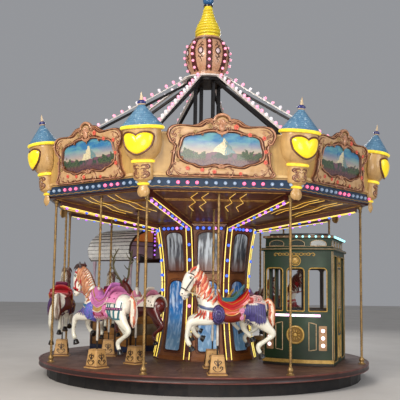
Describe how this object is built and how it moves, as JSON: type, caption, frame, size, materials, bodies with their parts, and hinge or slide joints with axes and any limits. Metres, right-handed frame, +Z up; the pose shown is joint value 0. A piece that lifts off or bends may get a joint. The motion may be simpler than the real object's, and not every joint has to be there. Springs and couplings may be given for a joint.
{
  "type": "fairground carousel",
  "caption": "Round fairground ride: a turning platform with rising animals, a tram cab and a wagon under a lit eight-sided canopy.",
  "frame": {"origin": "on the ground under the centre of the platform", "axes": "+Z up; -Y is the middle of the front side, the side with the white horse; the ride turns clockwise seen from above"},
  "size_m": [6.3646, 6.3646, 7.4706],
  "materials": {
    "dark_iron": "dark painted steel",
    "deck_boards": "brown boards, worn",
    "rim_paint": "red-brown paint",
    "maroon_panel": "maroon painted glass fibre",
    "ceiling_panel": "brown painted glass fibre",
    "blue_band": "dark blue paint",
    "cream_board": "cream paint",
    "white_strip": "white painted light strip",
    "crown_paint": "tan paint with maroon ribs",
    "yellow_rope": "yellow paint",
    "blue_ball": "blue paint",
    "carved_frame": "cream carved glass fibre with brown scrolls",
    "turret_paint": "blue scales over a cream barrel",
    "brass_pillar": "twisted brass",
    "cab_green": "dark green gloss paint with gold lines",
    "wagon_plank": "tan planks",
    "wagon_shingle": "pale grey shingles",
    "horse_paint": "white gloss paint with painted harness",
    "deer_paint": "dark red-brown gloss paint",
    "brass_pole": "twisted brass over a steel rod"
  },
  "bodies": {
    "base": {"base_frame": "dark_iron"},
    "turntable": {"deck": "deck_boards", "deck_rim": "rim_paint", "column_casing": "maroon_panel", "ceiling": "ceiling_panel", "light_band": "blue_band", "backing_boards": "cream_board", "roof_frame": "dark_iron", "light_strips": "white_strip", "crown_barrel": "crown_paint", "crown_cone": "yellow_rope", "crown_finial": "blue_ball", "picture_board_1": "carved_frame", "turret_1": "turret_paint", "pillar_1": "brass_pillar", "picture_board_2": "carved_frame", "turret_2": "turret_paint", "pillar_2": "brass_pillar", "picture_board_3": "carved_frame", "turret_3": "turret_paint", "pillar_3": "brass_pillar", "picture_board_4": "carved_frame", "turret_4": "turret_paint", "pillar_4": "brass_pillar", "picture_board_5": "carved_frame", "turret_5": "turret_paint", "pillar_5": "brass_pillar", "picture_board_6": "carved_frame", "turret_6": "turret_paint", "pillar_6": "brass_pillar", "picture_board_7": "carved_frame", "turret_7": "turret_paint", "pillar_7": "brass_pillar", "picture_board_8": "carved_frame", "turret_8": "turret_paint", "pillar_8": "brass_pillar", "cab_body": "cab_green", "cab_roof": "cab_green", "wagon_body": "wagon_plank", "wagon_roof": "wagon_shingle"},
    "horse_outer_1": {"horse_outer_1": "horse_paint", "pole_outer_1": "brass_pole"},
    "horse_inner_1": {"horse_inner_1": "horse_paint", "pole_inner_1": "brass_pole"},
    "horse_outer_4": {"horse_outer_4": "horse_paint", "pole_outer_4": "brass_pole"},
    "horse_inner_4": {"horse_inner_4": "horse_paint", "pole_inner_4": "brass_pole"},
    "horse_outer_5": {"horse_outer_5": "horse_paint", "pole_outer_5": "brass_pole"},
    "horse_inner_5": {"horse_inner_5": "horse_paint", "pole_inner_5": "brass_pole"},
    "horse_outer_7": {"horse_outer_7": "horse_paint", "pole_outer_7": "brass_pole"},
    "horse_inner_7": {"horse_inner_7": "horse_paint", "pole_inner_7": "brass_pole"},
    "horse_outer_8": {"horse_outer_8": "horse_paint", "pole_outer_8": "brass_pole"},
    "deer_inner_8": {"deer_inner_8": "deer_paint", "pole_inner_8": "brass_pole"}
  },
  "joints": [
    {"name": "ride_turn", "type": "hinge", "parent": "base", "child": "turntable", "pos_m": [0, 0, 0.195], "axis": [0, 0, -1], "continuous": true},
    {"name": "rise_outer_1", "type": "slide", "parent": "turntable", "child": "horse_outer_1", "axis": [0, 0, 1], "range_m": [-0.1, 0.1]},
    {"name": "rise_inner_1", "type": "slide", "parent": "turntable", "child": "horse_inner_1", "axis": [0, 0, 1], "range_m": [-0.1, 0.1]},
    {"name": "rise_outer_4", "type": "slide", "parent": "turntable", "child": "horse_outer_4", "axis": [0, 0, 1], "range_m": [-0.1, 0.1]},
    {"name": "rise_inner_4", "type": "slide", "parent": "turntable", "child": "horse_inner_4", "axis": [0, 0, 1], "range_m": [-0.1, 0.1]},
    {"name": "rise_outer_5", "type": "slide", "parent": "turntable", "child": "horse_outer_5", "axis": [0, 0, 1], "range_m": [-0.1, 0.1]},
    {"name": "rise_inner_5", "type": "slide", "parent": "turntable", "child": "horse_inner_5", "axis": [0, 0, 1], "range_m": [-0.1, 0.1]},
    {"name": "rise_outer_7", "type": "slide", "parent": "turntable", "child": "horse_outer_7", "axis": [0, 0, 1], "range_m": [-0.1, 0.1]},
    {"name": "rise_inner_7", "type": "slide", "parent": "turntable", "child": "horse_inner_7", "axis": [0, 0, 1], "range_m": [-0.1, 0.1]},
    {"name": "rise_outer_8", "type": "slide", "parent": "turntable", "child": "horse_outer_8", "axis": [0, 0, 1], "range_m": [-0.1, 0.1]},
    {"name": "rise_inner_8", "type": "slide", "parent": "turntable", "child": "deer_inner_8", "axis": [0, 0, 1], "range_m": [-0.1, 0.1]}
  ]
}
